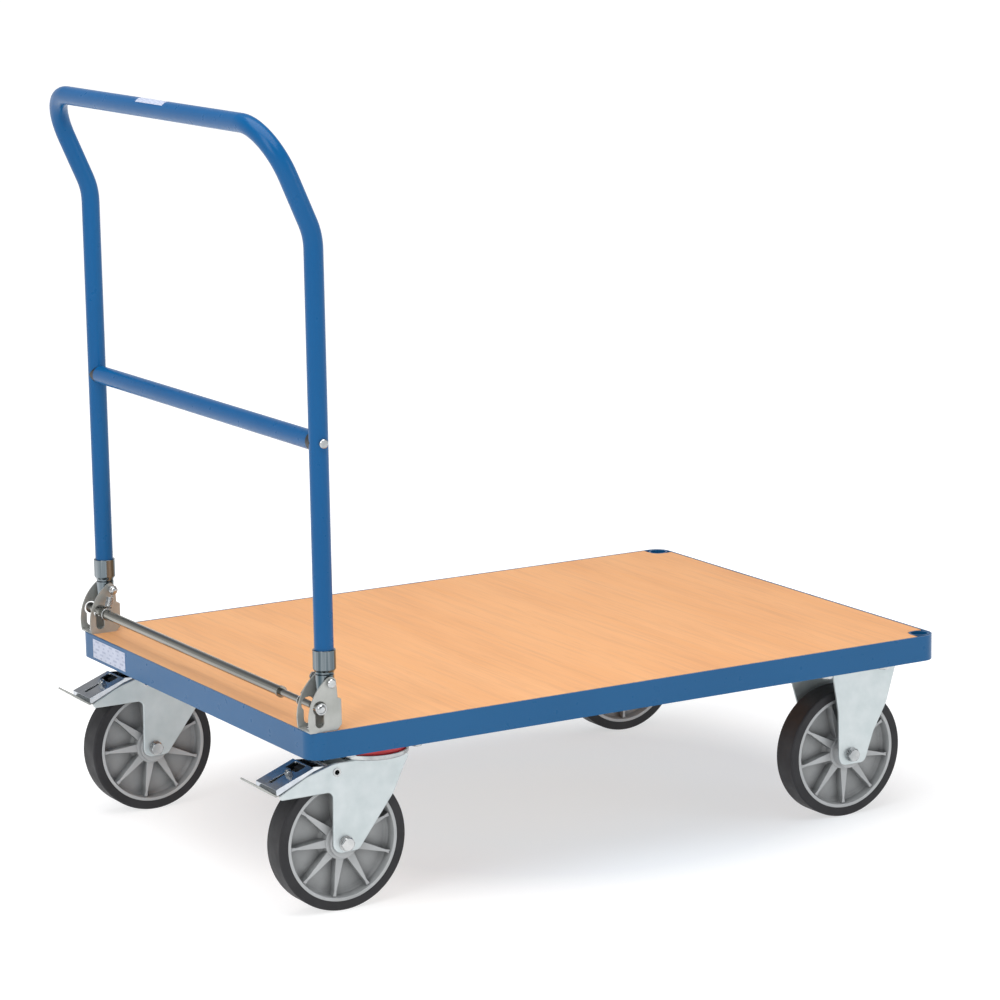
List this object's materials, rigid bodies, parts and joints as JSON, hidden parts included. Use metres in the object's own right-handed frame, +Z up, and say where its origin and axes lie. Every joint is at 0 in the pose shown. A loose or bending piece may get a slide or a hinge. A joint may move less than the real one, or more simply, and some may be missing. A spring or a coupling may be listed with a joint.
{
  "type": "platform trolley",
  "caption": "Flat platform trolley with a wooden deck in a steel rim, a folding push handle with a lock bar, braked swivel casters at the handle end and fixed casters in front.",
  "frame": {"origin": "on the floor, in the middle of the whole trolley's outline", "axes": "+X from the handle end to the front, +Y to the left, +Z up"},
  "size_m": [1.1306, 0.7732, 1.1224],
  "materials": {
    "blue_paint": "glossy",
    "deck_wood": "satin",
    "zinc": "satin",
    "zinc_bright": "satin",
    "black_plastic": "matte",
    "red_plastic": "satin",
    "tyre_rubber": "matte",
    "wheel_grey": "satin",
    "shoe_rubber": "matte",
    "label_white": "satin"
  },
  "bodies": {
    "chassis": {"perimeter_frame": "blue_paint", "cross_members": "blue_paint", "deck_board": "deck_wood", "deck_screws": "zinc", "right_stake_socket": "blue_paint", "left_stake_socket": "blue_paint", "frame_label": "label_white", "right_handle_bracket": "zinc", "left_handle_bracket": "zinc", "bracket_bolts": "zinc", "handle_pivot_bolts": "zinc", "right_fixed_fork": "zinc_bright", "left_fixed_fork": "zinc_bright", "fixed_axles": "zinc", "caster_bolts": "zinc", "right_swivel_top_plate": "zinc_bright", "left_swivel_top_plate": "zinc_bright", "kingpins": "zinc", "right_lock_spring": "zinc", "left_lock_spring": "zinc"},
    "push_handle": {"handle_tube": "blue_paint", "handle_cross_bar": "blue_paint", "cross_bar_end_caps": "black_plastic", "cross_bar_screws": "zinc", "right_leg_socket": "zinc", "left_leg_socket": "zinc", "handle_label": "label_white"},
    "lock_bar": {"locking_rod": "zinc", "rod_sleeve": "zinc", "rod_end_screws": "zinc"},
    "right_swivel_body": {"right_swivel_fork": "zinc_bright", "right_race_ring": "zinc_bright", "right_dust_seal": "red_plastic", "right_brake_pivot": "zinc", "right_swivel_axle": "zinc"},
    "right_brake": {"right_brake_pedal": "zinc_bright", "right_brake_tread": "zinc_bright", "right_brake_shoe": "shoe_rubber", "right_brake_screw": "zinc"},
    "right_rear_wheel": {"right_swivel_wheel_centre": "wheel_grey", "right_swivel_tyre": "tyre_rubber", "right_swivel_wheel_bush": "zinc"},
    "right_front_wheel": {"right_fixed_wheel_centre": "wheel_grey", "right_fixed_tyre": "tyre_rubber", "right_fixed_wheel_bush": "zinc"},
    "left_swivel_body": {"left_swivel_fork": "zinc_bright", "left_race_ring": "zinc_bright", "left_dust_seal": "red_plastic", "left_brake_pivot": "zinc", "left_swivel_axle": "zinc"},
    "left_brake": {"left_brake_pedal": "zinc_bright", "left_brake_tread": "zinc_bright", "left_brake_shoe": "shoe_rubber", "left_brake_screw": "zinc"},
    "left_rear_wheel": {"left_swivel_wheel_centre": "wheel_grey", "left_swivel_tyre": "tyre_rubber", "left_swivel_wheel_bush": "zinc"},
    "left_front_wheel": {"left_fixed_wheel_centre": "wheel_grey", "left_fixed_tyre": "tyre_rubber", "left_fixed_wheel_bush": "zinc"}
  },
  "joints": [
    {"name": "handle_fold", "type": "hinge", "parent": "chassis", "child": "push_handle", "pos_m": [-0.469, 0, 0.3441], "axis": [0, 1, 0], "range_deg": [0, 94]},
    {"name": "lock_bar_press", "type": "slide", "parent": "chassis", "child": "lock_bar", "axis": [0, 0, 1], "range_m": [-0.0205, 0], "stiffness_N_per_m": 800, "springref_m": 0.02, "deforming": ["right_lock_spring", "left_lock_spring"]},
    {"name": "right_caster_swivel", "type": "hinge", "parent": "chassis", "child": "right_swivel_body", "pos_m": [-0.373, -0.311, 0.2], "axis": [0, 0, 1], "continuous": true},
    {"name": "right_rear_wheel_spin", "type": "hinge", "parent": "right_swivel_body", "child": "right_rear_wheel", "pos_m": [-0.43, -0.311, 0.1], "axis": [0, 1, 0], "continuous": true},
    {"name": "right_brake_press", "type": "hinge", "parent": "right_swivel_body", "child": "right_brake", "pos_m": [-0.4415, -0.311, 0.2042], "axis": [0, -1, 0], "range_deg": [0, 5.4]},
    {"name": "right_front_wheel_spin", "type": "hinge", "parent": "chassis", "child": "right_front_wheel", "pos_m": [0.433, -0.311, 0.1], "axis": [0, 1, 0], "continuous": true},
    {"name": "left_caster_swivel", "type": "hinge", "parent": "chassis", "child": "left_swivel_body", "pos_m": [-0.373, 0.311, 0.2], "axis": [0, 0, 1], "continuous": true},
    {"name": "left_rear_wheel_spin", "type": "hinge", "parent": "left_swivel_body", "child": "left_rear_wheel", "pos_m": [-0.43, 0.311, 0.1], "axis": [0, 1, 0], "continuous": true},
    {"name": "left_brake_press", "type": "hinge", "parent": "left_swivel_body", "child": "left_brake", "pos_m": [-0.4415, 0.311, 0.2042], "axis": [0, -1, 0], "range_deg": [0, 5.4]},
    {"name": "left_front_wheel_spin", "type": "hinge", "parent": "chassis", "child": "left_front_wheel", "pos_m": [0.433, 0.311, 0.1], "axis": [0, 1, 0], "continuous": true}
  ]
}
